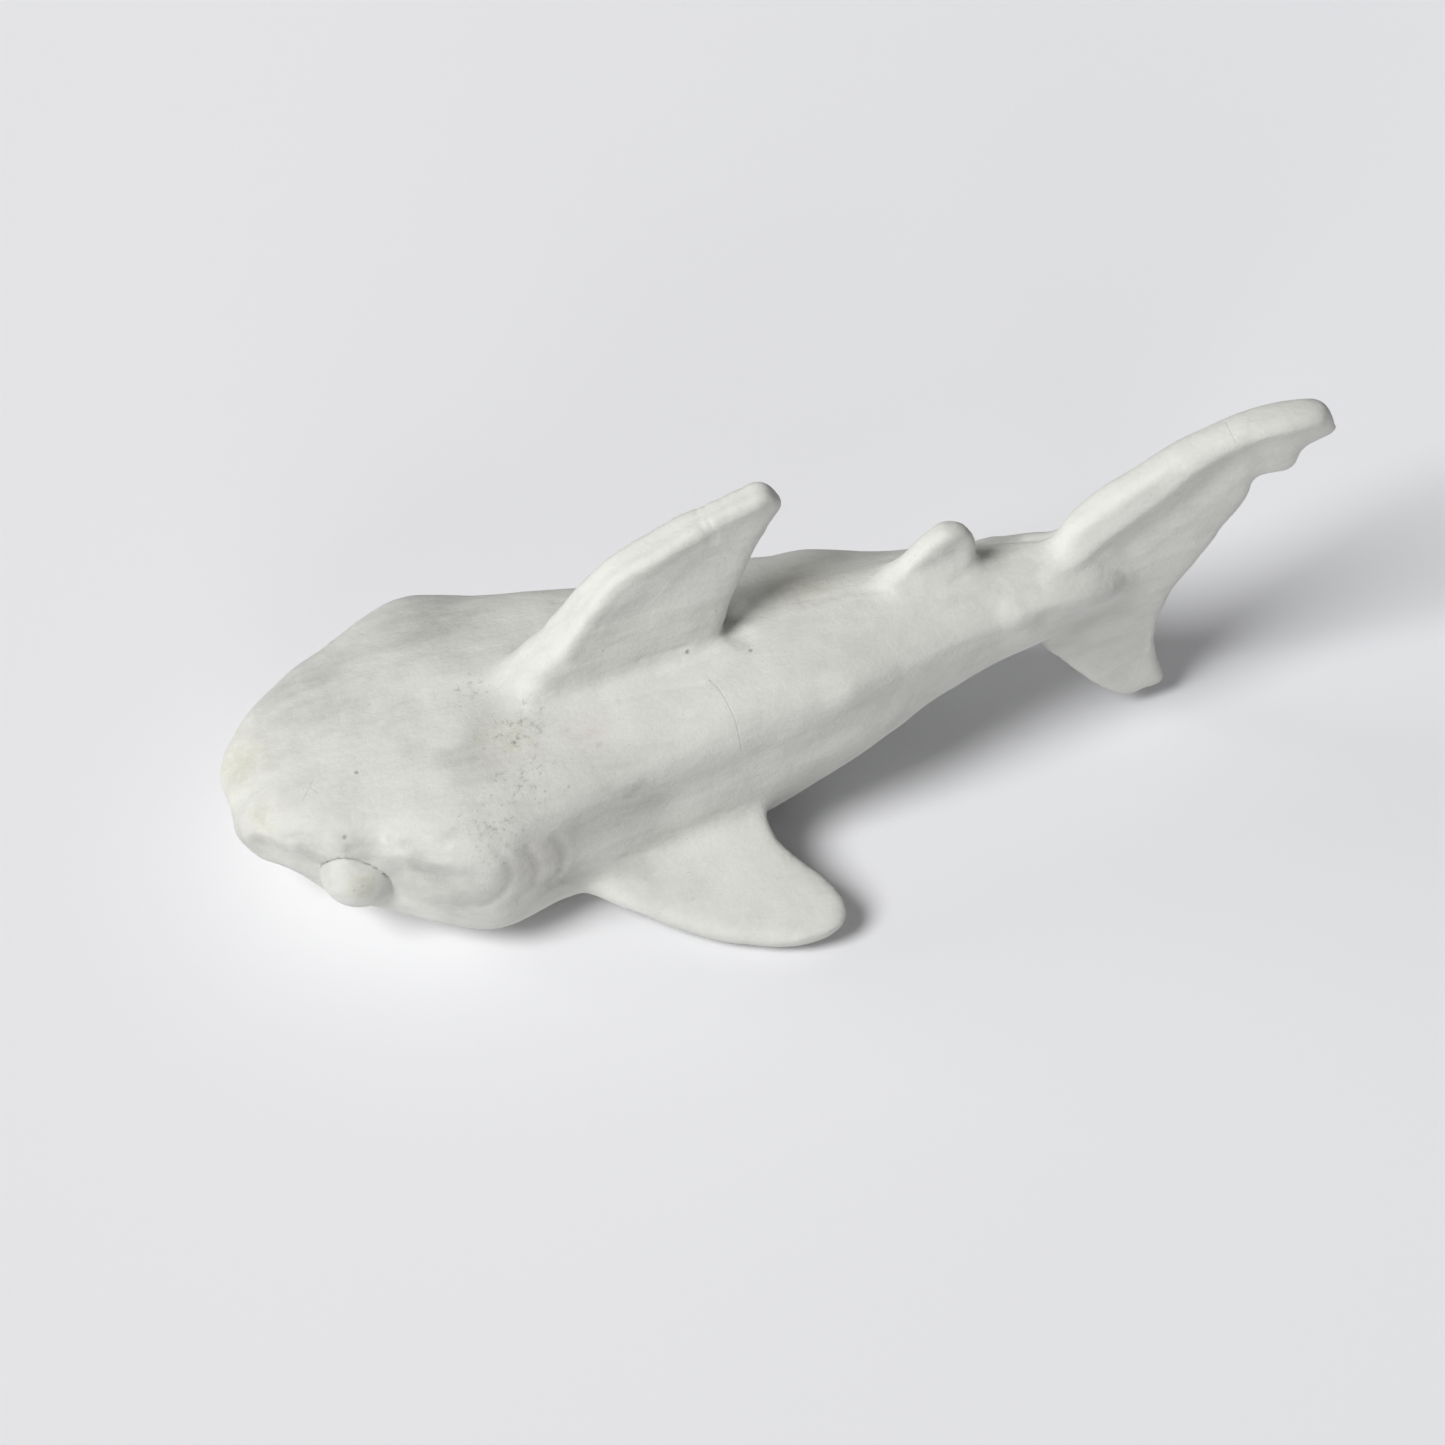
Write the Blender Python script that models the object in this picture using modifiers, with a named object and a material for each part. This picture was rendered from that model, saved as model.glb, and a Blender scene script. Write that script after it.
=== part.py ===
"""Shark figurine: one solid piece of white modelling clay that stands on its chest.

The shark is shaped along its own axis, nose first, with x running back from the nose, y to its right and
z up from the axis. The empty "stance" then raises the tail and sets the chest on the ground, z = 0, with
the shoulder over the origin. All sizes are in metres.
"""
import math

import bmesh
import bpy
import numpy as np
from mathutils import Matrix, Vector

# Stance on the ground
TAIL_RISE = math.radians(9.0)
CHEST_SQUASH = 0.0016

# Body sections: how far each lies behind the one before it, its half width, and its top and bottom measured
# from the shark's own axis
NOSE_HALF_WIDTH = 0.0064
NOSE_TOP = 0.0090
NOSE_BOTTOM = 0.0038
LIP_LENGTH = 0.0014
LIP_HALF_WIDTH = 0.0097
LIP_TOP = 0.0104
LIP_BOTTOM = 0.0020
SNOUT_LENGTH = 0.0056
SNOUT_HALF_WIDTH = 0.0145
SNOUT_TOP = 0.0124
SNOUT_BOTTOM = -0.0010
FACE_LENGTH = 0.0042
FACE_HALF_WIDTH = 0.0175
FACE_TOP = 0.0136
FACE_BOTTOM = -0.0062
BROW_LENGTH = 0.0119
BROW_HALF_WIDTH = 0.0246
BROW_TOP = 0.0152
BROW_BOTTOM = -0.0120
CHEEK_LENGTH = 0.0150
CHEEK_HALF_WIDTH = 0.0315
CHEEK_TOP = 0.0158
CHEEK_BOTTOM = -0.0176
GILL_LENGTH = 0.0126
GILL_HALF_WIDTH = 0.0274
GILL_TOP = 0.0150
GILL_BOTTOM = -0.0205
SHOULDER_LENGTH = 0.0151
SHOULDER_HALF_WIDTH = 0.0241
SHOULDER_TOP = 0.0140
SHOULDER_BOTTOM = -0.0240
BACK_LENGTH = 0.0148
BACK_HALF_WIDTH = 0.0216
BACK_TOP = 0.0134
BACK_BOTTOM = -0.0234
LOIN_LENGTH = 0.0263
LOIN_HALF_WIDTH = 0.0174
LOIN_TOP = 0.0132
LOIN_BOTTOM = -0.0176
RUMP_LENGTH = 0.0182
RUMP_HALF_WIDTH = 0.0124
RUMP_TOP = 0.0118
RUMP_BOTTOM = -0.0124
STALK_LENGTH = 0.0157
STALK_HALF_WIDTH = 0.0092
STALK_TOP = 0.0093
STALK_BOTTOM = -0.0096
KEEL_LENGTH = 0.0092
KEEL_HALF_WIDTH = 0.0074
KEEL_TOP = 0.0080
KEEL_BOTTOM = -0.0076
KEEL_END_LENGTH = 0.0110
KEEL_END_HALF_WIDTH = 0.0026
KEEL_END_TOP = 0.0014
KEEL_END_BOTTOM = -0.0062

# First dorsal fin, which grows out of the back of the head and flares into it
DORSAL_AHEAD = 0.0198
DORSAL_LENGTH = 0.0582
DORSAL_HEIGHT = 0.0302
DORSAL_SUNK = 0.0120
DORSAL_ROOT_THICKNESS = 0.0120
DORSAL_TIP_THICKNESS = 0.0048
DORSAL_FLARE = 0.0040

# Second dorsal fin, on the rump
SECOND_DORSAL_AHEAD = 0.0105
SECOND_DORSAL_LENGTH = 0.0204
SECOND_DORSAL_HEIGHT = 0.0098
SECOND_DORSAL_SUNK = 0.0090
SECOND_DORSAL_ROOT_THICKNESS = 0.0082
SECOND_DORSAL_TIP_THICKNESS = 0.0046
SECOND_DORSAL_FLARE = 0.0048

# Pectoral fins, behind the gills, reaching out from the middle of the body
PECTORAL_BEHIND = 0.0030
PECTORAL_DROP = 0.0032
PECTORAL_DROOP = math.radians(24.0)
PECTORAL_LENGTH = 0.0422
PECTORAL_REACH = 0.0472
PECTORAL_ROOT_THICKNESS = 0.0088
PECTORAL_TIP_THICKNESS = 0.0054

# Tail fin, on the stalk
TAIL_LENGTH = 0.0590
TAIL_HEIGHT = 0.0254
TAIL_DEPTH = 0.0336
TAIL_UPPER_THICKNESS = 0.0056
TAIL_MIDDLE_THICKNESS = 0.0078
TAIL_LOWER_THICKNESS = 0.0048

# Every fin is thick in front, and this share of that behind
FIN_REAR_SHARE = 0.50

# How square a fin's edges are: the dorsal and tail fins have a flat band in front, the pectoral fins are rounded
BANDED_SQUARENESS = 5.5
ROUNDED_SQUARENESS = 3.2

# Eyes: pellets pressed against the sides of the head, behind the face
EYE_BEHIND = 0.0072
EYE_HEIGHT = 0.0018
EYE_SUNK = 0.0022
EYE_HALF_LENGTH = 0.0068
EYE_HALF_HEIGHT = 0.0050
EYE_HALF_DEPTH = 0.0050

# How finely the clay is shaped and how far it is smoothed
RING_STEP = 0.0020
RING_POINTS = 48
FIN_POINTS = 28
FIN_STEPS = 4
VOXEL = 0.0009
SMOOTHING_ROUNDS = 9
KEPT_FACES = 0.105
GROUND_BLOCK = 0.40

# Each row: length, half width, top, bottom, share of the height at which it is widest, squareness
BODY_SECTIONS = (
    (0.0, NOSE_HALF_WIDTH, NOSE_TOP, NOSE_BOTTOM, 0.50, 3.0),
    (LIP_LENGTH, LIP_HALF_WIDTH, LIP_TOP, LIP_BOTTOM, 0.52, 3.4),
    (SNOUT_LENGTH, SNOUT_HALF_WIDTH, SNOUT_TOP, SNOUT_BOTTOM, 0.52, 3.8),
    (FACE_LENGTH, FACE_HALF_WIDTH, FACE_TOP, FACE_BOTTOM, 0.52, 4.0),
    (BROW_LENGTH, BROW_HALF_WIDTH, BROW_TOP, BROW_BOTTOM, 0.50, 3.9),
    (CHEEK_LENGTH, CHEEK_HALF_WIDTH, CHEEK_TOP, CHEEK_BOTTOM, 0.54, 3.5),
    (GILL_LENGTH, GILL_HALF_WIDTH, GILL_TOP, GILL_BOTTOM, 0.58, 3.3),
    (SHOULDER_LENGTH, SHOULDER_HALF_WIDTH, SHOULDER_TOP, SHOULDER_BOTTOM, 0.61, 3.1),
    (BACK_LENGTH, BACK_HALF_WIDTH, BACK_TOP, BACK_BOTTOM, 0.60, 3.0),
    (LOIN_LENGTH, LOIN_HALF_WIDTH, LOIN_TOP, LOIN_BOTTOM, 0.55, 2.4),
    (RUMP_LENGTH, RUMP_HALF_WIDTH, RUMP_TOP, RUMP_BOTTOM, 0.50, 2.0),
    (STALK_LENGTH, STALK_HALF_WIDTH, STALK_TOP, STALK_BOTTOM, 0.50, 2.0),
    (KEEL_LENGTH, KEEL_HALF_WIDTH, KEEL_TOP, KEEL_BOTTOM, 0.48, 2.0),
    (KEEL_END_LENGTH, KEEL_END_HALF_WIDTH, KEEL_END_TOP, KEEL_END_BOTTOM, 0.50, 2.0),
)
FACE, GILL, SHOULDER, RUMP, STALK = 3, 6, 7, 10, 11

# Each fin is drawn as pairs: a point of its leading edge, then the point of its trailing edge across from it,
# along the body and then outwards. Only the proportions of a drawing count: it is scaled to its fin's size.
DORSAL_DRAWING = (
    ((2.4, -0.6), (42.8, -1.6)),
    ((6.0, 2.6), (44.0, 2.6)),
    ((9.8, 6.2), (45.2, 5.6)),
    ((14.2, 9.8), (46.4, 8.0)),
    ((18.6, 13.6), (47.8, 10.4)),
    ((22.8, 17.6), (49.4, 12.8)),
    ((27.8, 21.6), (51.2, 16.0)),
    ((36.0, 24.8), (53.6, 19.6)),
    ((43.6, 27.0), (55.6, 22.4)),
    ((50.6, 28.8), (57.4, 24.2)),
    ((55.6, 30.2), (58.2, 26.2)),
)
SECOND_DORSAL_DRAWING = (
    ((0.0, -0.6), (20.4, -2.0)),
    ((4.6, 3.0), (20.2, 2.0)),
    ((9.2, 6.2), (19.8, 5.0)),
    ((12.8, 8.4), (19.2, 7.2)),
    ((15.2, 9.6), (18.2, 8.8)),
)
PECTORAL_DRAWING = (
    ((0.0, 0.0), (32.0, 0.0)),
    ((0.0, 23.8), (34.2, 20.4)),
    ((2.2, 28.4), (34.0, 26.6)),
    ((7.4, 33.0), (36.0, 31.0)),
    ((12.6, 37.2), (38.6, 34.4)),
    ((17.8, 40.8), (40.8, 37.8)),
    ((24.8, 44.4), (42.2, 41.2)),
    ((31.4, 46.8), (41.8, 44.2)),
    ((36.4, 47.2), (40.4, 46.0)),
)
TAIL_UPPER_DRAWING = (
    ((57.4, 24.2), (59.0, 16.2)),
    ((52.4, 25.0), (52.2, 15.0)),
    ((50.2, 25.2), (49.8, 10.8)),
    ((43.0, 25.4), (43.0, 11.4)),
    ((40.6, 25.1), (41.6, 7.6)),
    ((30.4, 22.9), (36.0, 1.4)),
    ((22.2, 19.5), (30.2, -5.6)),
    ((15.0, 16.1), (25.8, -10.6)),
    ((8.2, 11.6), (23.0, -16.0)),
)
TAIL_LOWER_DRAWING = (
    ((5.0, 0.0), (21.6, -20.6)),
    ((0.8, -10.6), (21.4, -25.0)),
    ((4.2, -18.6), (21.6, -28.8)),
    ((8.8, -26.8), (22.0, -31.8)),
    ((13.6, -32.8), (21.0, -33.6)),
)


def smooth_through(places, rows, wanted):
    """Values on a smooth curve through the rows, which stand at the given places."""
    steps = np.diff(places)[:, None]
    slopes = np.diff(rows, axis=0) / steps
    tangents = np.vstack((slopes[:1], slopes, slopes[-1:]))
    weights = np.concatenate((steps[:1], steps, steps[-1:]))
    tangents = (tangents[:-1] * weights[1:] + tangents[1:] * weights[:-1]) / (weights[1:] + weights[:-1])
    found = np.clip(np.searchsorted(places, wanted, side="right") - 1, 0, len(places) - 2)
    span = steps[found]
    t = (wanted[:, None] - places[found, None]) / span
    start = rows[found] * (1 + 2 * t) * (1 - t) ** 2 + tangents[found] * span * t * (1 - t) ** 2
    end = rows[found + 1] * t * t * (3 - 2 * t) - tangents[found + 1] * span * t * t * (1 - t)
    return start + end


def rounded(angle, squareness):
    """A point of a rounded square of half size 1."""
    across = math.copysign(abs(math.cos(angle)) ** (2 / squareness), math.cos(angle))
    up = math.copysign(abs(math.sin(angle)) ** (2 / squareness), math.sin(angle))
    return across, up


def add_object(name, mesh, collection, parent=None):
    made = bpy.data.objects.new(name, mesh)
    collection.objects.link(made)
    made.parent = parent
    return made


def loft(name, rings):
    """A closed mesh through rings of equally many points, with a flat face on each end."""
    mesh = bpy.data.meshes.new(name)
    shape = bmesh.new()
    rows = [[shape.verts.new(point) for point in ring] for ring in rings]
    for near, far in zip(rows, rows[1:]):
        for i in range(len(near)):
            j = (i + 1) % len(near)
            shape.faces.new((near[i], near[j], far[j], far[i]))
    shape.faces.new(reversed(rows[0]))
    shape.faces.new(rows[-1])
    bmesh.ops.recalc_face_normals(shape, faces=shape.faces)
    shape.to_mesh(mesh)
    shape.free()
    return mesh


def body_rows():
    """The sections with their distance from the nose in place of their length."""
    rows = np.array(BODY_SECTIONS)
    rows[:, 0] = np.cumsum(rows[:, 0])
    return rows


def body_mesh():
    rows = body_rows()
    lip = LIP_LENGTH * np.array((0, 0.3, 1, 2))
    count = round(rows[-1, 0] / RING_STEP)
    places = np.concatenate((lip, np.linspace(LIP_LENGTH * 3, rows[-1, 0], count)))
    rings = []
    for x, half_width, top, bottom, widest, squareness in smooth_through(rows[:, 0], rows, places):
        middle = bottom + (top - bottom) * widest
        ring = []
        for i in range(RING_POINTS):
            across, up = rounded(math.tau * i / RING_POINTS, squareness)
            reach = top - middle if up > 0 else middle - bottom
            ring.append((x, across * half_width, middle + up * reach))
        rings.append(ring)
    return loft("body", rings)


def scaled(drawing, length, height, depth=None):
    """The drawing's rows of four numbers, scaled to the fin's length, height and, below its place, depth."""
    rows = np.array(drawing).reshape(len(drawing), 4)
    along, outwards = rows[:, 0::2], rows[:, 1::2]
    above = height / outwards.max()
    below = -depth / outwards.min() if depth else above
    rows[:, 1::2] = outwards * np.where(outwards > 0, above, below)
    rows[:, 0::2] = along * length / along.max()
    return rows


def sunk(rows, depth):
    """The same rows with one more in front, where the fin's root ends inside the body."""
    root = rows[0].copy()
    root[1::2] = -depth
    return np.vstack((root, rows))


def flared(root, tip, flare, count):
    """Thicknesses from the root to the tip, with a flare that fades out above the root."""
    return np.linspace(root, tip, count) + flare * np.linspace(1, 0, count) ** 3


def fin_mesh(name, rows, thicknesses, squareness):
    """A fin in its own x and z plane, thick in front and thinner behind, through its pairs of edge points."""
    rows = np.column_stack((rows, thicknesses))
    places = np.arange(len(rows), dtype=float)
    wanted = np.linspace(0, len(rows) - 1, (len(rows) - 1) * FIN_STEPS + 1)
    rings = []
    for front_x, front_z, rear_x, rear_z, thickness in smooth_through(places, rows, wanted):
        front = Vector((front_x, 0, front_z))
        rear = Vector((rear_x, 0, rear_z))
        ring = []
        for i in range(FIN_POINTS):
            along, across = rounded(math.tau * i / FIN_POINTS, squareness)
            share = (1 + along) / 2
            half = thickness / 2 * (1 - (1 - FIN_REAR_SHARE) * share)
            ring.append(front.lerp(rear, share) + Vector((0, across * half, 0)))
        rings.append(ring)
    return loft(name, rings)


def add_fin(name, rows, thicknesses, squareness, place, collection, stance):
    mesh = fin_mesh(name, rows, thicknesses, squareness)
    mesh.transform(place)
    add_object(name, mesh, collection, stance)


def add_fins(places, collection, stance):
    """The fins, each with its root inside the body, so that it always joins it."""
    dorsal = sunk(scaled(DORSAL_DRAWING, DORSAL_LENGTH, DORSAL_HEIGHT), DORSAL_SUNK)
    add_fin(
        "dorsal_fin",
        dorsal,
        flared(DORSAL_ROOT_THICKNESS, DORSAL_TIP_THICKNESS, DORSAL_FLARE, len(dorsal)),
        BANDED_SQUARENESS,
        Matrix.Translation((places[SHOULDER] - DORSAL_AHEAD, 0, SHOULDER_TOP)),
        collection,
        stance,
    )
    second = scaled(SECOND_DORSAL_DRAWING, SECOND_DORSAL_LENGTH, SECOND_DORSAL_HEIGHT)
    second = sunk(second, SECOND_DORSAL_SUNK)
    add_fin(
        "second_dorsal_fin",
        second,
        flared(SECOND_DORSAL_ROOT_THICKNESS, SECOND_DORSAL_TIP_THICKNESS, SECOND_DORSAL_FLARE, len(second)),
        ROUNDED_SQUARENESS,
        Matrix.Translation((places[RUMP] - SECOND_DORSAL_AHEAD, 0, RUMP_TOP)),
        collection,
        stance,
    )
    pectoral = scaled(PECTORAL_DRAWING, PECTORAL_LENGTH, PECTORAL_REACH)
    for side, name in ((-1, "left_pectoral_fin"), (1, "right_pectoral_fin")):
        outwards = Matrix.Rotation(-side * (math.pi / 2 + PECTORAL_DROOP), 4, "X")
        add_fin(
            name,
            pectoral,
            np.linspace(PECTORAL_ROOT_THICKNESS, PECTORAL_TIP_THICKNESS, len(pectoral)),
            ROUNDED_SQUARENESS,
            Matrix.Translation((places[GILL] + PECTORAL_BEHIND, 0, -PECTORAL_DROP)) @ outwards,
            collection,
            stance,
        )
    tail = scaled(TAIL_UPPER_DRAWING + TAIL_LOWER_DRAWING, TAIL_LENGTH, TAIL_HEIGHT, TAIL_DEPTH)
    upper = np.linspace(TAIL_UPPER_THICKNESS, TAIL_MIDDLE_THICKNESS, len(TAIL_UPPER_DRAWING))
    lower = np.linspace(TAIL_MIDDLE_THICKNESS, TAIL_LOWER_THICKNESS, len(TAIL_LOWER_DRAWING))
    add_fin(
        "tail_fin",
        tail,
        np.concatenate((upper, lower)),
        BANDED_SQUARENESS,
        Matrix.Translation((places[STALK], 0, 0)),
        collection,
        stance,
    )


def add_eyes(rows, collection, stance):
    """Two pellets, each set into the side of the head where the head is as wide as the sections make it."""
    eye_x = rows[FACE, 0] + EYE_BEHIND
    side_of_head = smooth_through(rows[:, 0], rows, np.array((eye_x,)))[0, 1]
    for side, name in ((-1, "left_eye"), (1, "right_eye")):
        bpy.ops.mesh.primitive_uv_sphere_add(segments=28, ring_count=16, radius=1)
        eye = bpy.context.object
        eye.name = name
        for owner in eye.users_collection:
            owner.objects.unlink(eye)
        collection.objects.link(eye)
        pellet = Matrix.Diagonal((EYE_HALF_LENGTH, EYE_HALF_DEPTH, EYE_HALF_HEIGHT, 1))
        place = Matrix.Translation((eye_x, side * (side_of_head - EYE_SUNK), EYE_HEIGHT))
        eye.data.transform(place @ pellet)
        eye.parent = stance


def add_ground(collection):
    """A block under the ground, which cuts the chest flat."""
    bpy.ops.mesh.primitive_cube_add(size=GROUND_BLOCK, location=(0, 0, -GROUND_BLOCK / 2))
    ground = bpy.context.object
    ground.name = "ground_block"
    for owner in ground.users_collection:
        owner.objects.unlink(ground)
    collection.objects.link(ground)
    return ground


def clay():
    material = bpy.data.materials.new("white clay")
    material.use_nodes = True
    shader = material.node_tree.nodes["Principled BSDF"]
    shader.inputs["Base Color"].default_value = (0.70, 0.70, 0.67, 1)
    shader.inputs["Roughness"].default_value = 0.85
    shader.inputs["Metallic"].default_value = 0.0
    return material


def new_collection(name, inside):
    made = bpy.data.collections.new(name)
    inside.children.link(made)
    return made


def hide_helpers(collection):
    for helper in collection.all_objects:
        helper.hide_render = True
        helper.display_type = "WIRE"


def add_union(target, name, collection):
    union = target.modifiers.new(name, "BOOLEAN")
    union.operation = "UNION"
    union.operand_type = "COLLECTION"
    union.collection = collection


def shape_clay(shark, fins, eyes, ground):
    """Presses the fins into the body, smooths the joins, adds the eyes and flattens the chest."""
    add_union(shark, "fins", fins)
    remesh = shark.modifiers.new("one lump", "REMESH")
    remesh.mode = "VOXEL"
    remesh.voxel_size = VOXEL
    smoothing = shark.modifiers.new("smoothing", "SMOOTH")
    smoothing.factor = 0.5
    smoothing.iterations = SMOOTHING_ROUNDS
    add_union(shark, "eyes", eyes)
    fewer = shark.modifiers.new("fewer faces", "DECIMATE")
    fewer.ratio = KEPT_FACES
    flat = shark.modifiers.new("flat chest", "BOOLEAN")
    flat.operation = "DIFFERENCE"
    flat.object = ground


def main():
    for old in list(bpy.data.objects):
        bpy.data.objects.remove(old, do_unlink=True)
    scene = bpy.context.scene.collection
    part = new_collection("shark_figurine", scene)
    helpers = new_collection("helpers", scene)
    fins = new_collection("fins", helpers)
    eyes = new_collection("eyes", helpers)

    rows = body_rows()
    stance = bpy.data.objects.new("stance", None)
    part.objects.link(stance)
    axis_height = -SHOULDER_BOTTOM * math.cos(TAIL_RISE) - CHEST_SQUASH
    lift = Matrix.Translation((0, 0, axis_height)) @ Matrix.Rotation(-TAIL_RISE, 4, "Y")
    stance.matrix_world = lift @ Matrix.Translation((-rows[SHOULDER, 0], 0, 0))

    shark = add_object("shark", body_mesh(), part, stance)
    shark.data.materials.append(clay())
    add_fins(rows[:, 0], fins, stance)
    add_eyes(rows, eyes, stance)
    ground = add_ground(helpers)
    shape_clay(shark, fins, eyes, ground)
    hide_helpers(helpers)


main()
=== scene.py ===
"""Dresses the shark figurine: bare white modelling clay, rubbed and scraped by hand, on a pale floor."""

import math

import bpy
from mathutils import Matrix, Vector
from mathutils.bvhtree import BVHTree


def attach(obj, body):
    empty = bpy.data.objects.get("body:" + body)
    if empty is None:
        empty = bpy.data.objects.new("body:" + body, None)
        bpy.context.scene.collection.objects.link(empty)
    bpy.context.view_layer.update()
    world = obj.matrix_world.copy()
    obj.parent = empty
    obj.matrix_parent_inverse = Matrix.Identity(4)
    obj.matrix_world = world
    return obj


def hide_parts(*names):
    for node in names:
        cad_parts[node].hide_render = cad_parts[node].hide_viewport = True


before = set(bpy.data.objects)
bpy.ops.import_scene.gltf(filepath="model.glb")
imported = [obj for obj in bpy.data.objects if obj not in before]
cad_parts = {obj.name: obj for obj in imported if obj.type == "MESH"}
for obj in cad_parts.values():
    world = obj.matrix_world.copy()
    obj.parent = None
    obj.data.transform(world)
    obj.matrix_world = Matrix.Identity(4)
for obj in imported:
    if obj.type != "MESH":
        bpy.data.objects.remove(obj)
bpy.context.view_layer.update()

bl_info = {
    "name": "Clay Shark",
    "version": (1, 0, 0),
    "blender": (4, 5, 0),
    "location": "View3D > Sidebar > Clay Shark",
    "description": "Models the hand-worked surface of a white clay shark, and the studio that it stands in",
    "category": "Object",
}

NODE = "shark"

# The photograph's frame is square, and marks on the clay are placed by its pixels
PHOTO_PIXELS = 1445
SENSOR_WIDTH = 36.0
CAMERA_TARGET = Vector((0.03, 0.0, 0.03))

# The shark's own axes: x back from the nose, y to its right, z up from the axis
TAIL_RISE = math.radians(9.0)
AXIS_HEIGHT = 0.0221
SHOULDER_BEHIND_NOSE = 0.0658
STANCE = (
    Matrix.Translation((0, 0, AXIS_HEIGHT))
    @ Matrix.Rotation(-TAIL_RISE, 4, "Y")
    @ Matrix.Translation((-SHOULDER_BEHIND_NOSE, 0, 0))
)

# Forms and tool marks that show in the photograph. Each has its width, its depth (below zero it stands
# out) and its lines, as the photograph's pixels that they pass through. The shark's right side has the
# same ones.
TOOL_MARKS = {
    "shoulder ridge": (
        0.0200,
        -0.0010,
        (
            (
                (247, 834), (290, 838), (350, 842), (420, 846), (490, 842), (530, 822), (560, 802),
                (600, 784), (640, 769), (700, 745), (775, 718), (850, 688),
            ),
        ),
    ),
    "rump ridge": (0.0110, -0.0006, (((850, 688), (930, 655), (1000, 623)),)),
    "hollow flank": (
        0.0180,
        0.0010,
        (((585, 836), (620, 820), (660, 803), (700, 786), (760, 758), (850, 722), (930, 684), (1000, 652)),),
    ),
    "hollow under the brow": (
        0.0090,
        0.0007,
        (((262, 852), (300, 864)), ((405, 872), (440, 880), (470, 880))),
    ),
    "corner of the snout": (0.0150, 0.0013, (((238, 800), (245, 826), (258, 846)),)),
    "head crest": (0.0120, -0.0006, (((455, 722), (490, 700), (530, 672)),)),
    "side of the dorsal fin": (0.0140, 0.0003, (((600, 648), (640, 615), (680, 585), (722, 550)),)),
    "front band of the dorsal fin": (
        0.0048,
        -0.0006,
        (((566, 652), (577, 634), (600, 602), (622, 579), (660, 559), (700, 529), (735, 510), (757, 503)),),
    ),
    "pit behind the dorsal fin": (0.0064, 0.0005, (((726, 618), (733, 606)),)),
    "side of the second dorsal fin": (0.0084, 0.0007, (((914, 577), (936, 566), (955, 555)),)),
    "keel": (0.0080, -0.0011, (((1020, 612), (1050, 602), (1080, 595), (1108, 590)),)),
    "hollow below the keel": (0.0100, 0.0007, (((1050, 624), (1085, 618), (1120, 611)),)),
    "front band of the tail fin": (
        0.0048,
        -0.0006,
        (
            (
                (1050, 577), (1062, 570), (1082, 558), (1106, 537), (1132, 518), (1160, 498), (1190, 473),
                (1220, 454), (1260, 437), (1290, 429), (1318, 423),
            ),
        ),
    ),
    "hollow in the tail fin": (0.0090, 0.0006, (((1130, 545), (1165, 520), (1205, 490), (1230, 468)),)),
    "gill grooves": (
        0.0034,
        0.00023,
        (
            ((500, 852), (508, 862), (512, 875), (508, 888), (499, 899), (488, 906)),
            ((528, 848), (537, 860), (539, 873), (533, 886), (521, 897)),
            ((555, 836), (562, 846), (565, 858), (561, 871), (551, 882)),
        ),
    ),
    "brow grooves": (
        0.0022,
        0.00030,
        (
            ((286, 838), (320, 834), (352, 835), (380, 838)),
            ((350, 849), (372, 846), (395, 849), (420, 853), (445, 858)),
            ((392, 838), (420, 842), (446, 846)),
        ),
    ),
    "striations": (
        0.0016,
        0.00022,
        (
            ((700, 523), (706, 532), (711, 545)),
            ((708, 520), (713, 530), (716, 542)),
            ((640, 660), (668, 652), (690, 646)),
            ((620, 700), (660, 690), (700, 684)),
            ((600, 745), (650, 727), (690, 715)),
            ((560, 870), (600, 862), (650, 852)),
            ((800, 600), (850, 592), (890, 590)),
            ((1000, 590), (1030, 575), (1060, 552)),
        ),
    ),
}

# Where the clay was rubbed smooth: the width and rounds of the rubbing, and its lines
RUBBED_PLACES = {
    "dorsal fin": (0.0170, 90, (((500, 700), (530, 670), (556, 640)),)),
    "foot of the dorsal fin": (0.0070, 30, (((560, 676), (620, 660), (690, 640), (724, 626), (740, 590)),)),
    "second dorsal fin": (
        0.0090,
        60,
        (((885, 590), (925, 586), (965, 580), (985, 572)), ((868, 582), (895, 566))),
    ),
    "back of the second dorsal fin": (0.0090, 60, (((976, 548), (985, 558), (992, 566)),)),
    "tip of the tail fin": (0.0090, 50, (((1318, 404), (1330, 414), (1334, 430)),)),
    "tail fin": (0.0180, 110, (((1000, 575), (1040, 560), (1062, 545)), ((1010, 548), (1045, 535)))),
    "pectoral fin": (0.0120, 60, (((560, 885), (600, 860), (660, 835), (720, 812), (765, 800)),)),
}

# Lumps all over the clay: their size, their depth and how far they are stretched along the body
LUMPS = {
    "hand pressed lumps": (0.0150, 0.00080, 1.0),
    "scraped hollows": (0.0042, 0.00026, 2.6),
}

# Marks of colour: lines as the photograph's pixels that they pass through, and spots as pixel and radius
CRACKS = (
    ((710, 680), (720, 690), (732, 712), (738, 730), (742, 750)),
    ((1226, 422), (1231, 432), (1236, 443)),
)
DARK_SCRATCHES = (((313, 780), (308, 790), (303, 800)), ((310, 788), (318, 793)))
PALE_SCRATCHES = (((655, 598), (663, 590), (668, 582)),)
PINHOLES = ((357, 772), (345, 837), (688, 652), (751, 650), (515, 742))
SPECKLED = (
    ((515, 730), 0.0120),
    ((495, 836), 0.0110),
    ((525, 780), 0.0110),
    ((470, 690), 0.0070),
    ((364, 888), 0.0042),
)
DUSTIEST = (((420, 770), 0.0500),)
STAINED = (
    ((236, 765), 0.0110),
    ((262, 818), 0.0070),
    ((362, 888), 0.0044),
    ((505, 745), 0.0090),
    ((800, 585), 0.0090),
)
REDDENED = (((540, 862), 0.0070), ((590, 735), 0.0060))
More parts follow.
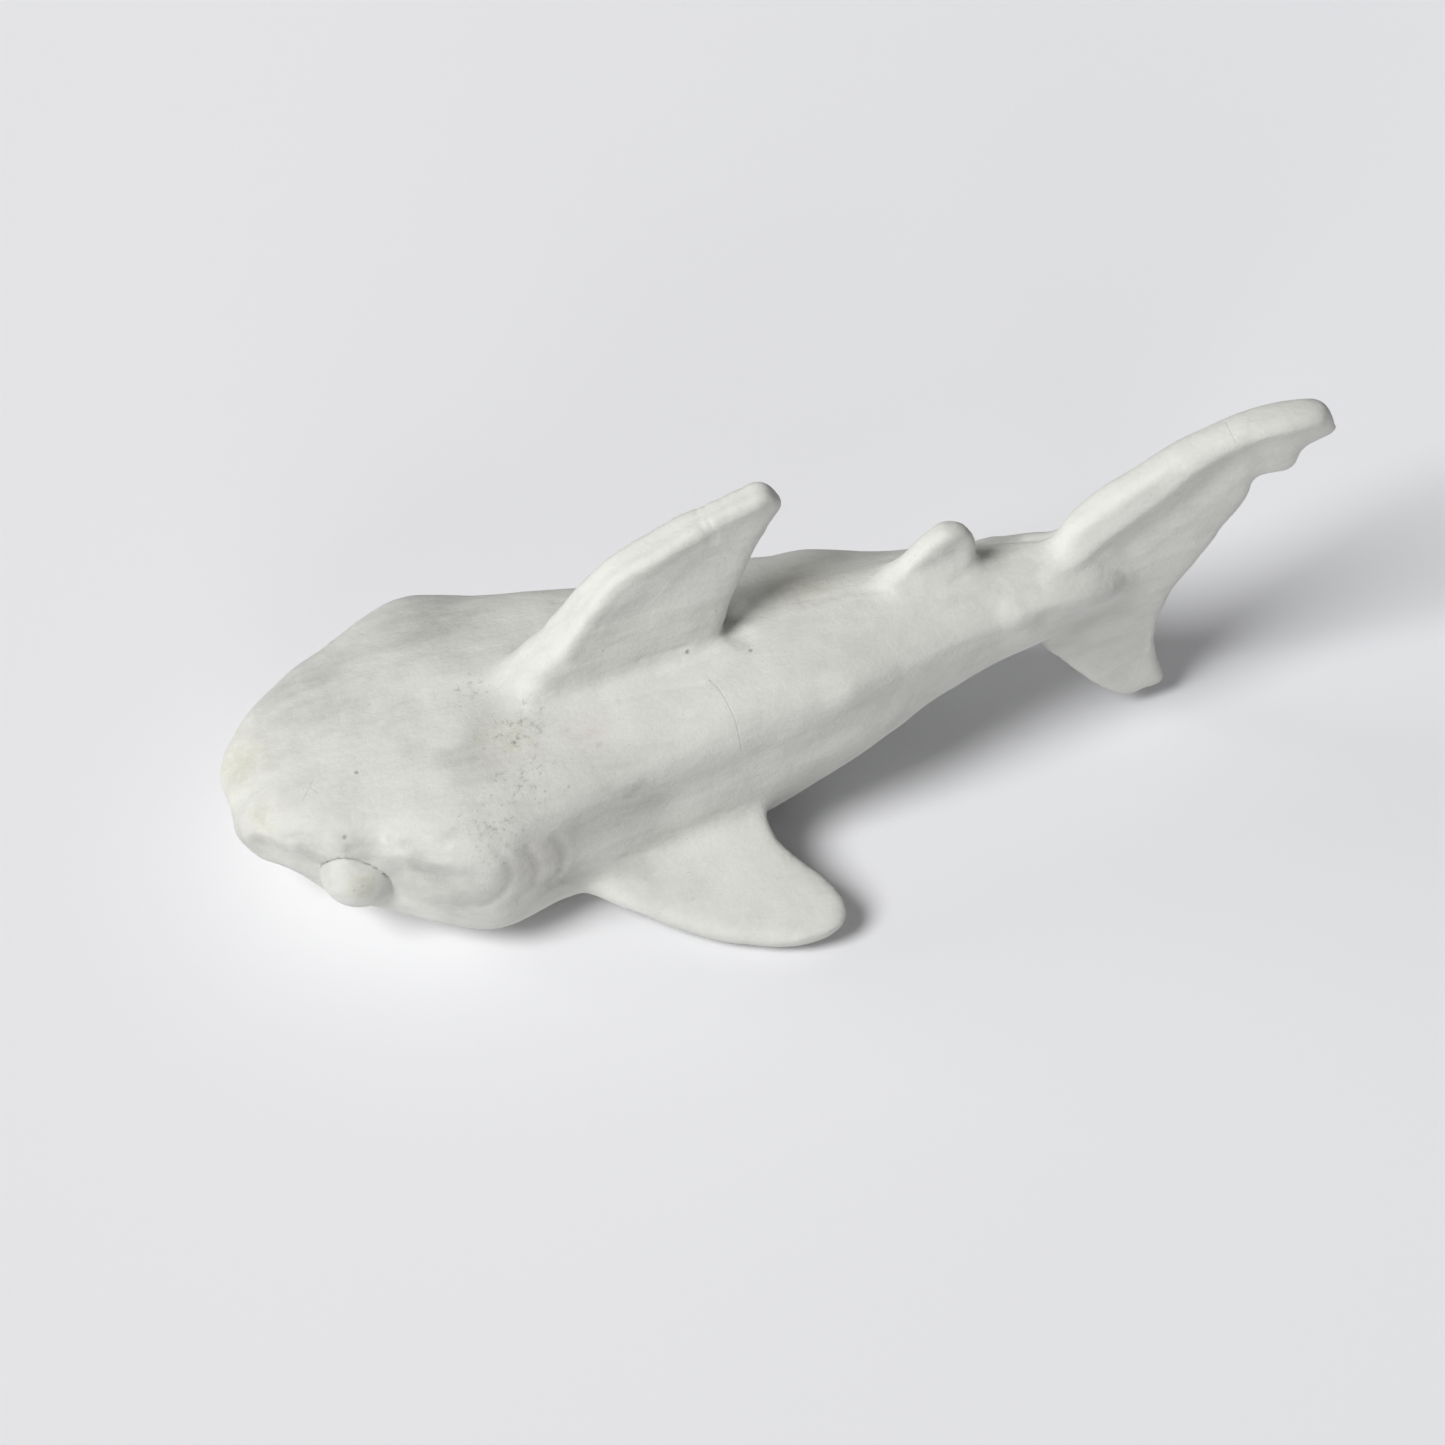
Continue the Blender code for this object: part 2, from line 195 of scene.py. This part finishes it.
# Grey soot spots, which are also painted shade on the side below the head's ridge and on the cheek, in the
# dust colour
SOOT_AND_SHADE_SPOTS = (
    ((300, 690), 0.0150),
    ((252, 845), 0.0085),
    ((300, 852), 0.0100),
    ((355, 848), 0.0075),
    ((366, 888), 0.0040),
    ((425, 868), 0.0100),
    ((455, 900), 0.0100),
    ((430, 620), 0.0150),
    ((620, 805), 0.0150),
    ((470, 760), 0.0080),
    ((565, 880), 0.0080),
    ((640, 880), 0.0060),
)
# Painted shade: grey bands along the side of the snout and cheek below the head's ridge
PAINTED_SHADE_BANDS = (((246, 846), (275, 857), (322, 866)), ((398, 874), (435, 884), (468, 892)))

# Sizes of what the clay's colour and fine relief show
MOTTLE = 0.0110
SMEAR = 0.0034
SMEAR_STRETCH = 3.2
FINE_GRAIN = 0.0011
SPECK = 0.0012
PINHOLE_RADIUS = 0.0006
CRACK_WIDTH = 0.00046
SCRATCH_WIDTH = 0.00040
# Width of the painted shade bands below the head's ridge
PAINTED_SHADE_WIDTH = 0.0170
RELIEF_DEPTH = 0.0006

# Painted shade: the floor's darker far colour comes in along this level direction, between these distances
# from the shark, where the light falls off
FLOOR_SIZE = 12.0
FLOOR_FADE_ALONG = (0.97, -0.24, 0.0)
FLOOR_FADE_FROM = -0.08
FLOOR_FADE_TO = 0.15

# Where each lamp stands, seen from the shark
KEY_LAMP_AT = (-0.62, -0.27, 0.735)
SIDE_LAMP_AT = (-0.896, 0.338, 0.243)
FRONT_LAMP_AT = (-0.25, -0.92, 0.30)


class StudioSettings(bpy.types.PropertyGroup):
    """The floor, the light and the camera."""

    floor_colour: bpy.props.FloatVectorProperty(
        name="Floor colour", description="Colour of the floor", subtype="COLOR", default=(0.865, 0.865, 0.882)
    )
    # Painted shade: the floor's colour where the light falls off behind the tail
    painted_floor_shade: bpy.props.FloatVectorProperty(
        name="Far floor colour",
        description="Colour of the floor behind the tail",
        subtype="COLOR",
        default=(0.835, 0.84, 0.862),
    )
    key_strength: bpy.props.FloatProperty(
        name="Key strength", description="Strength of the large lamp over the head", default=2.78, min=0
    )
    side_strength: bpy.props.FloatProperty(
        name="Side strength", description="Strength of the low lamp at the snout", default=0.72, min=0
    )
    front_strength: bpy.props.FloatProperty(
        name="Front strength", description="Strength of the low lamp beside the shark", default=0.46, min=0
    )
    lamp_spread: bpy.props.FloatProperty(
        name="Lamp spread",
        description="How wide a lamp looks from the shark, which softens its shadows",
        default=math.radians(26),
        subtype="ANGLE",
    )
    room_light: bpy.props.FloatProperty(
        name="Room light", description="Strength of the light from all around", default=0.14, min=0
    )
    azimuth: bpy.props.FloatProperty(
        name="Azimuth",
        description="How far the camera stands round from the shark's left side",
        default=math.radians(-13.64),
        subtype="ANGLE",
    )
    elevation: bpy.props.FloatProperty(
        name="Elevation",
        description="How far the camera looks down",
        default=math.radians(47.55),
        subtype="ANGLE",
    )
    roll: bpy.props.FloatProperty(
        name="Roll",
        description="Turn of the camera about its view",
        default=math.radians(0.633),
        subtype="ANGLE",
    )
    distance: bpy.props.FloatProperty(
        name="Distance", description="From the camera to its target", default=1.2, unit="LENGTH"
    )
    pixel: bpy.props.FloatProperty(
        name="Pixel",
        description="Size of a photograph pixel at the target",
        default=0.0001715,
        unit="LENGTH",
        precision=6,
    )
    target_x: bpy.props.FloatProperty(
        name="Target x", description="Where the target is in the photograph", default=774.07, subtype="PIXEL"
    )
    target_y: bpy.props.FloatProperty(
        name="Target y", description="Where the target is in the photograph", default=652.8, subtype="PIXEL"
    )


class ClaySizes(bpy.types.PropertyGroup):
    """How finely the clay is modelled and how deep it is worked."""

    grain: bpy.props.FloatProperty(
        name="Grain", description="Size of the mesh's cells", default=0.00061, unit="LENGTH", precision=5
    )
    rubbing: bpy.props.IntProperty(name="Rubbing", description="Rounds of smoothing", default=3, min=0)
    eye_behind: bpy.props.FloatProperty(
        name="Eye behind nose", description="Place of the eyes along the shark", default=0.0184, unit="LENGTH"
    )
    eye_side: bpy.props.FloatProperty(
        name="Eye off centre", description="Place of the eyes across the shark", default=0.0198, unit="LENGTH"
    )
    eye_height: bpy.props.FloatProperty(
        name="Eye height",
        description="Place of the eyes above the shark's axis",
        default=0.0022,
        unit="LENGTH",
    )
    eye_size: bpy.props.FloatVectorProperty(
        name="Eye size",
        description="Half length, half depth and half height of an eye pellet",
        default=(0.0068, 0.0058, 0.0060),
        unit="LENGTH",
    )


class ClayColours(bpy.types.PropertyGroup):
    """The clay and what has got onto it."""

    clay: bpy.props.FloatVectorProperty(
        name="Clay", description="Colour of the clean clay", subtype="COLOR", default=(0.642, 0.642, 0.608)
    )
    # Also the colour of the painted shade below the head's ridge and on the cheek
    dust_and_shade: bpy.props.FloatVectorProperty(
        name="Dust",
        description="Colour of the grey dust rubbed into the clay",
        subtype="COLOR",
        default=(0.44, 0.445, 0.415),
    )
    dirt: bpy.props.FloatVectorProperty(
        name="Dirt",
        description="Colour of the specks, pinholes and cracks",
        subtype="COLOR",
        default=(0.14, 0.135, 0.11),
    )
    stain: bpy.props.FloatVectorProperty(
        name="Stain",
        description="Colour of the greenish yellow stains",
        subtype="COLOR",
        default=(0.50, 0.49, 0.36),
    )
    red_stain: bpy.props.FloatVectorProperty(
        name="Red stain",
        description="Colour of the reddish stains",
        subtype="COLOR",
        default=(0.60, 0.53, 0.49),
    )
    scratch: bpy.props.FloatVectorProperty(
        name="Scratch", description="Colour of fresh scratches", subtype="COLOR", default=(0.78, 0.78, 0.75)
    )
    roughness: bpy.props.FloatProperty(
        name="Roughness", description="Roughness of the clay", default=0.75, min=0, max=1
    )


class Value:
    """A number or vector in a material, which Python's arithmetic works on."""

    def __init__(self, tree, socket):
        self.tree = tree
        self.socket = socket

    def maths(self, operation, *others):
        """A Math node on this value and the others."""
        node = self.tree.nodes.new("ShaderNodeMath")
        node.operation = operation
        for place, operand in enumerate((self, *others)):
            if isinstance(operand, Value):
                self.tree.links.new(operand.socket, node.inputs[place])
            else:
                node.inputs[place].default_value = operand
        return Value(self.tree, node.outputs[0])

    def __add__(self, other):
        return self.maths("ADD", other)

    def __sub__(self, other):
        return self.maths("SUBTRACT", other)

    def __rsub__(self, other):
        return self.maths("MULTIPLY", -1.0).maths("ADD", other)

    def __mul__(self, other):
        return self.maths("MULTIPLY", other)

    __radd__ = __add__
    __rmul__ = __mul__


class Finish:
    """The nodes of a material or a world that is being made."""

    def __init__(self, owner):
        owner.use_nodes = True
        self.tree = owner.node_tree
        self.tree.nodes.clear()

    def add(self, kind, settings=None, sockets=None, output=0):
        """A node of this kind, with its settings made first and then its sockets set or linked."""
        node = self.tree.nodes.new(kind)
        for name, value in (settings or {}).items():
            setattr(node, name, value)
        for name, value in (sockets or {}).items():
            if isinstance(value, Value):
                self.tree.links.new(value.socket, node.inputs[name])
            else:
                node.inputs[name].default_value = value
        return None if output is None else Value(self.tree, node.outputs[output])

    def surface(self, sockets):
        """Ends the material with one shader."""
        shader = self.add("ShaderNodeBsdfPrincipled", {}, sockets)
        self.add("ShaderNodeOutputMaterial", {}, {"Surface": shader}, output=None)

    def noise(self, place, size, detail=2.0, roughness=0.5, distortion=0.0):
        """Noise with lumps of this size, from 0 to 1."""
        return self.add(
            "ShaderNodeTexNoise",
            {},
            {
                "Vector": place,
                "Scale": 1 / size,
                "Detail": detail,
                "Roughness": roughness,
                "Distortion": distortion,
            },
        )

    def along_shark(self, place, stretch):
        """The place along the shark's own axes, with lengths along its body shortened."""
        turn = {"Vector": place, "Rotation": (0, TAIL_RISE, 0), "Scale": (1 / stretch, 1, 1)}
        return self.add("ShaderNodeMapping", {}, turn)

    def vector(self, operation, *operands, output=0):
        """A Vector Math node. Its output 1 is the number that a distance or a dot product gives."""
        sockets = dict(enumerate(operands))
        return self.add("ShaderNodeVectorMath", {"operation": operation}, sockets, output=output)

    def near_spots(self, place, spots):
        """1 in the middle of each spot, fading to 0 at its radius."""
        found = 0.0
        for point, radius in spots:
            away = self.vector("DISTANCE", place, tuple(point), output=1)
            found = self.smooth_step(away, radius, 0.0).maths("MAXIMUM", found)
        return found

    def near_line(self, place, lines, width):
        """1 on the lines, fading to 0 at half the width from them."""
        found = 0.0
        for line in lines:
            for start, end in zip(line, line[1:]):
                span = end - start
                past = self.vector("SUBTRACT", place, tuple(start))
                share = self.vector("DOT_PRODUCT", past, tuple(span / span.length_squared), output=1)
                share = share.maths("MAXIMUM", 0.0).maths("MINIMUM", 1.0)
                share_thrice = self.add("ShaderNodeCombineXYZ", {}, dict.fromkeys(range(3), share))
                foot = self.vector("MULTIPLY", tuple(span), share_thrice)
                away = self.vector("DISTANCE", past, foot, output=1)
                found = self.smooth_step(away, width / 2, 0.0).maths("MAXIMUM", found)
        return found

    def blend(self, amount, first, second):
        """A colour between two, by the amount."""
        return self.add("ShaderNodeMix", {"data_type": "RGBA"}, {0: amount, 6: first, 7: second}, output=2)

    def smooth_step(self, value, low, high):
        """0 below low, 1 above high, and smooth between them."""
        return self.add(
            "ShaderNodeMapRange",
            {"interpolation_type": "SMOOTHSTEP"},
            {"Value": value, "From Min": low, "From Max": high},
        )


def with_alpha(colour):
    return (*colour, 1.0)


def deselect_all():
    for chosen in list(bpy.context.selected_objects):
        chosen.select_set(False)


def select_only(obj):
    deselect_all()
    obj.select_set(True)
    bpy.context.view_layer.objects.active = obj


def apply_modifiers(obj):
    select_only(obj)
    for modifier in list(obj.modifiers):
        bpy.ops.object.modifier_apply(modifier=modifier.name)


def settle(obj):
    """Puts an object's place into its mesh."""
    select_only(obj)
    bpy.ops.object.transform_apply(location=True, rotation=True, scale=True)


def copy_of_node(node_name, name):
    """A merged copy of a CAD node's mesh."""
    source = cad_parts[node_name]
    piece = bpy.data.objects.new(name, source.data.copy())
    bpy.context.scene.collection.objects.link(piece)
    select_only(piece)
    bpy.ops.object.mode_set(mode="EDIT")
    bpy.ops.mesh.select_all(action="SELECT")
    bpy.ops.mesh.remove_doubles(threshold=0.000001)
    bpy.ops.mesh.subdivide(number_cuts=2, smoothness=1.0)
    bpy.ops.object.mode_set(mode="OBJECT")
    return piece


def photo_ray(camera, pixel):
    """Where the camera stands, and the direction in which it sees a pixel of the photograph."""
    across = (pixel[0] / PHOTO_PIXELS - 0.5) * SENSOR_WIDTH
    up = (0.5 - pixel[1] / PHOTO_PIXELS) * SENSOR_WIDTH
    turn = camera.matrix_world.to_3x3()
    return camera.matrix_world.translation, turn @ Vector((across, up, -camera.data.lens))


def finely(points, steps=8):
    """A smooth line through the points, as more points."""
    ends = [points[0], *points, points[-1]]
    found = []
    for before, start, end, after in zip(ends, ends[1:], ends[2:], ends[3:]):
        a, b, c, d = (Vector(p) for p in (before, start, end, after))
        slope = (c - a) / 2
        bend = a - b * 2.5 + c * 2 - d / 2
        sway = b * 1.5 - a / 2 - c * 1.5 + d / 2
        for i in range(steps):
            t = i / steps
            found.append(b + slope * t + bend * t**2 + sway * t**3)
    found.append(Vector(points[-1]))
    return found


def seen_at(piece, pixels):
    """The clay's points that the camera sees at these pixels, without those that miss it."""
    surface = BVHTree.FromObject(piece, bpy.context.evaluated_depsgraph_get())
    rays = (photo_ray(bpy.context.scene.camera, pixel) for pixel in pixels)
    hits = (surface.ray_cast(start, direction)[0] for start, direction in rays)
    return [hit for hit in hits if hit is not None]


def traced(piece, lines, name):
    """Lines on the clay's surface, through the photograph's pixels, and the same on its other side."""
    points = []
    edges = []
    for line in lines:
        seen = seen_at(piece, finely(line))
        for side in (1, -1):
            first = len(points)
            points.extend((p.x, p.y * side, p.z) for p in seen)
            edges.extend((first + i, first + i + 1) for i in range(len(seen) - 1))
    mesh = bpy.data.meshes.new(name)
    mesh.from_pydata(points, edges, [])
    tool = bpy.data.objects.new(name, mesh)
    bpy.context.scene.collection.objects.link(tool)
    return tool


def near_tool(piece, tool, width, falloff):
    """A group of the clay's vertices: fully in it on the tool's lines, and out of it at half the width."""
    group = piece.vertex_groups.new(name=tool.name)
    group.add(range(len(piece.data.vertices)), 1.0, "REPLACE")
    near = piece.modifiers.new("near " + tool.name, "VERTEX_WEIGHT_PROXIMITY")
    near.vertex_group = group.name
    near.target = tool
    near.proximity_mode = "GEOMETRY"
    near.proximity_geometry = {"EDGE"}
    near.min_dist = width / 2
    near.max_dist = 0.0
    near.falloff_type = falloff
    return group


def put_away(piece, tool):
    """Applies what the tool does and removes it."""
    apply_modifiers(piece)
    piece.vertex_groups.remove(piece.vertex_groups[tool.name])
    bpy.data.objects.remove(tool)


def rub(piece, tool, width, rounds):
    """Smooths the clay near the tool's lines, which fairs a join."""
    group = near_tool(piece, tool, width, "SMOOTH")
    smoothing = piece.modifiers.new("rub " + tool.name, "SMOOTH")
    smoothing.factor = 0.5
    smoothing.iterations = rounds
    smoothing.vertex_group = group.name
    put_away(piece, tool)


def press(piece, tool, width, depth):
    """Presses the tool's lines into the clay, or raises a crest along them where the depth is negative."""
    group = near_tool(piece, tool, width, "SMOOTH" if depth > 0 else "LINEAR")
    move = piece.modifiers.new("press " + tool.name, "DISPLACE")
    move.strength = -depth
    move.mid_level = 0.0
    move.vertex_group = group.name
    put_away(piece, tool)


def roughen(piece, name, size, depth, stretch):
    """Lumps of this size and depth all over the clay, stretched along the body."""
    lumps = bpy.data.textures.new(name, "CLOUDS")
    lumps.noise_scale = size
    lumps.noise_depth = 2
    guide = bpy.data.objects.new(name, None)
    bpy.context.scene.collection.objects.link(guide)
    guide.matrix_world = STANCE @ Matrix.Diagonal((stretch, 1, 1, 1))
    bpy.context.view_layer.update()
    move = piece.modifiers.new(name, "DISPLACE")
    move.texture = lumps
    move.texture_coords = "OBJECT"
    move.texture_coords_object = guide
    move.strength = depth
    move.mid_level = 0.5
    apply_modifiers(piece)
    bpy.data.objects.remove(guide)
    bpy.data.textures.remove(lumps)


def add_eye(sizes, side):
    """A pellet of clay, pressed against the side of the head."""
    deselect_all()
    bpy.ops.mesh.primitive_uv_sphere_add(segments=48, ring_count=32, radius=1)
    eye = bpy.context.object
    eye.matrix_world = (
        STANCE
        @ Matrix.Translation((sizes.eye_behind, side * sizes.eye_side, sizes.eye_height))
        @ Matrix.Diagonal((*sizes.eye_size, 1))
    )
    settle(eye)
    return eye


def join_eyes(piece, sizes):
    """Both pellets, joined to the head with a crease around them."""
    for side in (-1, 1):
        eye = add_eye(sizes, side)
        union = piece.modifiers.new("eye", "BOOLEAN")
        union.operation = "UNION"
        union.object = eye
        apply_modifiers(piece)
        bpy.data.objects.remove(eye)


def flatten_chest(piece):
    """Presses what would reach below the ground flat against it."""
    select_only(piece)
    bpy.ops.object.mode_set(mode="EDIT")
    bpy.ops.mesh.select_all(action="DESELECT")
    bpy.ops.object.mode_set(mode="OBJECT")
    for vertex in piece.data.vertices:
        vertex.select = vertex.co.z < 0
    bpy.ops.object.mode_set(mode="EDIT")
    bpy.ops.transform.resize(value=(1, 1, 0), center_override=(0, 0, 0))
    bpy.ops.object.mode_set(mode="OBJECT")


def model_clay(sizes):
    """The whole shark as one fine mesh, joined, rubbed and marked in the order of the handwork."""
    piece = copy_of_node(NODE, "clay_shark")
    piece.data.remesh_voxel_size = sizes.grain
    bpy.ops.object.voxel_remesh()
    smoothing = piece.modifiers.new("rubbing", "SMOOTH")
    smoothing.factor = 0.5
    smoothing.iterations = sizes.rubbing
    apply_modifiers(piece)
    for name, (width, rounds, lines) in RUBBED_PLACES.items():
        rub(piece, traced(piece, lines, name), width, rounds)
    for name, (size, depth, stretch) in LUMPS.items():
        roughen(piece, name, size, depth, stretch)
    join_eyes(piece, sizes)
    for name, (width, depth, lines) in TOOL_MARKS.items():
        press(piece, traced(piece, lines, name), width, depth)
    flatten_chest(piece)
    bpy.ops.object.shade_smooth()
    return piece


def clay_finish(colours, piece):
    """Bare clay: chalky, smeared along the body, with dust and specks of dirt rubbed into it, and grey
    painted shade on the side below the head's ridge.

    Each smooth_step gives the values of a noise at which a layer starts to show and shows in full, and
    the factor after it is how much of the layer's colour is mixed in there.
    """

    def lines(pixel_lines):
        return [seen_at(piece, finely(line, 3)) for line in pixel_lines]

    def spots(pixel_spots):
        return [(seen_at(piece, (pixel,))[0], radius) for pixel, radius in pixel_spots]

    material = bpy.data.materials.new("bare white clay")
    finish = Finish(material)
    here = finish.add("ShaderNodeTexCoord", output="Object")
    mottle = finish.noise(here, MOTTLE, detail=7, roughness=0.66, distortion=0.4)
    smears = finish.noise(finish.along_shark(here, SMEAR_STRETCH), SMEAR, detail=5, roughness=0.6)
    fine = finish.noise(here, FINE_GRAIN, detail=3, roughness=0.6)
    specks = finish.noise(here, SPECK, detail=4, roughness=0.7)

    # Grey dust in patches, thickest on the head, and in smears along the body; the soot spots below the ridge
    # and on the cheek are painted shade as well as soot, and the bands below the ridge are painted shade
    thickness = finish.near_spots(here, spots(DUSTIEST)) * 0.16 + 0.18
    dusty = finish.smooth_step(mottle, 0.44, 0.70) * thickness
    smeared = finish.smooth_step(smears, 0.46, 0.76) * 0.20
    soot_and_shade_cover = finish.smooth_step(mottle + smears, 0.65, 1.15) * 0.65 + 0.35
    shade_below_ridge = finish.near_line(here, lines(PAINTED_SHADE_BANDS), PAINTED_SHADE_WIDTH) * 0.62
    soot_and_shade = (finish.near_spots(here, spots(SOOT_AND_SHADE_SPOTS)) * soot_and_shade_cover).maths("MAXIMUM", shade_below_ridge)
    dust_and_shade = (dusty + smeared + soot_and_shade * 0.75).maths("MINIMUM", 1.0)
    colour = finish.blend(dust_and_shade, with_alpha(colours.clay), with_alpha(colours.dust_and_shade))

    stained = finish.near_spots(here, spots(STAINED)) * finish.smooth_step(fine + mottle, 0.72, 1.25)
    colour = finish.blend(stained * 0.5, colour, with_alpha(colours.stain))
    reddened = finish.near_spots(here, spots(REDDENED)) * finish.smooth_step(smears, 0.35, 0.6)
    colour = finish.blend(reddened * 0.45, colour, with_alpha(colours.red_stain))

    # Dirt in the pores, thickest where the clay is speckled, and in the pinholes, cracks and scratches
    speckled = finish.near_spots(here, spots(SPECKLED)) * 0.13
    dirty = finish.smooth_step(specks + speckled, 0.62, 0.84) * 0.46
    pinholes = finish.near_spots(here, [(point, PINHOLE_RADIUS) for point in seen_at(piece, PINHOLES)])
    cracks = finish.near_line(here, lines(CRACKS), CRACK_WIDTH)
    scratches = finish.near_line(here, lines(DARK_SCRATCHES), SCRATCH_WIDTH)
    for marks, darkness in ((pinholes, 0.55), (cracks, 0.12), (scratches, 0.20)):
        dirty = dirty.maths("MAXIMUM", marks * darkness)
    colour = finish.blend(dirty, colour, with_alpha(colours.dirt))
    fresh = finish.near_line(here, lines(PALE_SCRATCHES), SCRATCH_WIDTH)
    colour = finish.blend(fresh * 0.6, colour, with_alpha(colours.scratch))

    height = smears * 0.9 + fine * 0.28 - specks * 0.08 - cracks * 0.12 - pinholes * 0.5
    relief = {"Strength": 0.55, "Distance": RELIEF_DEPTH, "Height": height}
    finish.surface(
        {
            "Base Color": colour,
            "Roughness": finish.smooth_step(mottle, 0.2, 0.8) * 0.16 + colours.roughness,
            "Specular IOR Level": 0.35,
            "Normal": finish.add("ShaderNodeBump", {}, relief),
        }
    )
    return material


def floor_finish(studio):
    """Matte and pale, with painted shade making it a little darker behind the tail."""
    material = bpy.data.materials.new("studio floor")
    finish = Finish(material)
    here = finish.add("ShaderNodeTexCoord", output="Object")
    away = finish.vector("DOT_PRODUCT", here, FLOOR_FADE_ALONG, output=1)
    # Painted shade: how far the floor has faded to its darker colour
    far = finish.smooth_step(away, FLOOR_FADE_FROM, FLOOR_FADE_TO)
    colour = finish.blend(far, with_alpha(studio.floor_colour), with_alpha(studio.painted_floor_shade))
    finish.surface({"Base Color": colour, "Roughness": 1.0, "Specular IOR Level": 0.0})
    return material


def add_floor(studio):
    deselect_all()
    bpy.ops.mesh.primitive_plane_add(size=FLOOR_SIZE)
    floor = bpy.context.object
    floor.name = "studio_floor"
    floor.data.materials.append(floor_finish(studio))


def add_lamp(name, place, strength, spread):
    """A distant lamp that stands in this direction from the shark."""
    deselect_all()
    bpy.ops.object.light_add(type="SUN")
    lamp = bpy.context.object
    lamp.name = name
    lamp.rotation_mode = "QUATERNION"
    lamp.rotation_quaternion = Vector(place).to_track_quat("Z", "Y")
    lamp.data.energy = strength
    lamp.data.angle = spread


def light_room(studio):
    """Even light from all around, where the camera itself sees the floor's colour."""
    world = bpy.data.worlds.new("studio")
    bpy.context.scene.world = world
    room = Finish(world)
    white = {"Color": (1, 1, 1, 1), "Strength": studio.room_light}
    light = room.add("ShaderNodeBackground", {}, white)
    backdrop = room.add("ShaderNodeBackground", {}, {"Color": with_alpha(studio.floor_colour)})
    seen = room.add("ShaderNodeLightPath", output="Is Camera Ray")
    either = room.add("ShaderNodeMixShader", {}, {0: seen, 1: light, 2: backdrop})
    room.add("ShaderNodeOutputWorld", {}, {"Surface": either}, output=None)


def add_camera(studio):
    """A long lens at the photograph's angle, aimed so that the target lies on its pixel."""
    level = Vector((math.sin(studio.azimuth), -math.cos(studio.azimuth), 0))
    back = level * math.cos(studio.elevation) + Vector((0, 0, math.sin(studio.elevation)))
    right = Vector((math.cos(studio.azimuth), math.sin(studio.azimuth), 0))
    turn = Matrix((right, back.cross(right), back)).transposed() @ Matrix.Rotation(-studio.roll, 3, "Z")
    half = PHOTO_PIXELS / 2
    aim_off = Vector((half - studio.target_x, studio.target_y - half, 0)) * studio.pixel
    camera_data = bpy.data.cameras.new("photo_camera")
    camera_data.sensor_width = SENSOR_WIDTH
    camera_data.lens = SENSOR_WIDTH * studio.distance / (PHOTO_PIXELS * studio.pixel)
    camera = bpy.data.objects.new("photo_camera", camera_data)
    bpy.context.scene.collection.objects.link(camera)
    place = CAMERA_TARGET + turn @ aim_off + back * studio.distance
    camera.matrix_world = Matrix.Translation(place) @ turn.to_4x4()
    bpy.context.scene.camera = camera
    bpy.context.view_layer.update()


class CLAYSHARK_OT_stage(bpy.types.Operator):
    """Sets the pale floor, the soft light and the camera"""

    bl_idname = "clay_shark.stage"
    bl_label = "Set the Studio"

    def execute(self, context):
        studio = context.scene.shark_studio
        add_floor(studio)
        add_lamp("key_lamp", KEY_LAMP_AT, studio.key_strength, studio.lamp_spread)
        add_lamp("side_lamp", SIDE_LAMP_AT, studio.side_strength, studio.lamp_spread)
        add_lamp("front_lamp", FRONT_LAMP_AT, studio.front_strength, studio.lamp_spread)
        light_room(studio)
        add_camera(studio)
        context.scene.view_settings.view_transform = "Standard"
        return {"FINISHED"}


class CLAYSHARK_OT_shark(bpy.types.Operator):
    """Models the clay shark over its plain solid and gives it its finish"""

    bl_idname = "clay_shark.shark"
    bl_label = "Model the Shark"

    def execute(self, context):
        piece = model_clay(context.scene.shark_sizes)
        piece.data.materials.clear()
        piece.data.materials.append(clay_finish(context.scene.shark_colours, piece))
        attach(piece, "root")
        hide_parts(NODE)
        triangles = sum(len(face.vertices) - 2 for face in piece.data.polygons)
        print("clay_shark:", triangles, "triangles")
        return {"FINISHED"}


class CLAYSHARK_PT_panel(bpy.types.Panel):
    """The shark's sizes and colours, and the buttons that make it"""

    bl_label = "Clay Shark"
    bl_idname = "CLAYSHARK_PT_panel"
    bl_space_type = "VIEW_3D"
    bl_region_type = "UI"
    bl_category = "Clay Shark"

    def draw(self, context):
        for group in (context.scene.shark_studio, context.scene.shark_sizes, context.scene.shark_colours):
            box = self.layout.box()
            for name in group.__annotations__:
                box.prop(group, name)
        self.layout.operator(CLAYSHARK_OT_stage.bl_idname)
        self.layout.operator(CLAYSHARK_OT_shark.bl_idname)


CLASSES = (
    StudioSettings,
    ClaySizes,
    ClayColours,
    CLAYSHARK_OT_stage,
    CLAYSHARK_OT_shark,
    CLAYSHARK_PT_panel,
)


def register():
    for cls in CLASSES:
        bpy.utils.register_class(cls)
    bpy.types.Scene.shark_studio = bpy.props.PointerProperty(type=StudioSettings)
    bpy.types.Scene.shark_sizes = bpy.props.PointerProperty(type=ClaySizes)
    bpy.types.Scene.shark_colours = bpy.props.PointerProperty(type=ClayColours)


def unregister():
    del bpy.types.Scene.shark_studio
    del bpy.types.Scene.shark_sizes
    del bpy.types.Scene.shark_colours
    for cls in reversed(CLASSES):
        bpy.utils.unregister_class(cls)


def main():
    register()
    bpy.ops.clay_shark.stage()
    bpy.ops.clay_shark.shark()


if __name__ == "__main__":
    main()
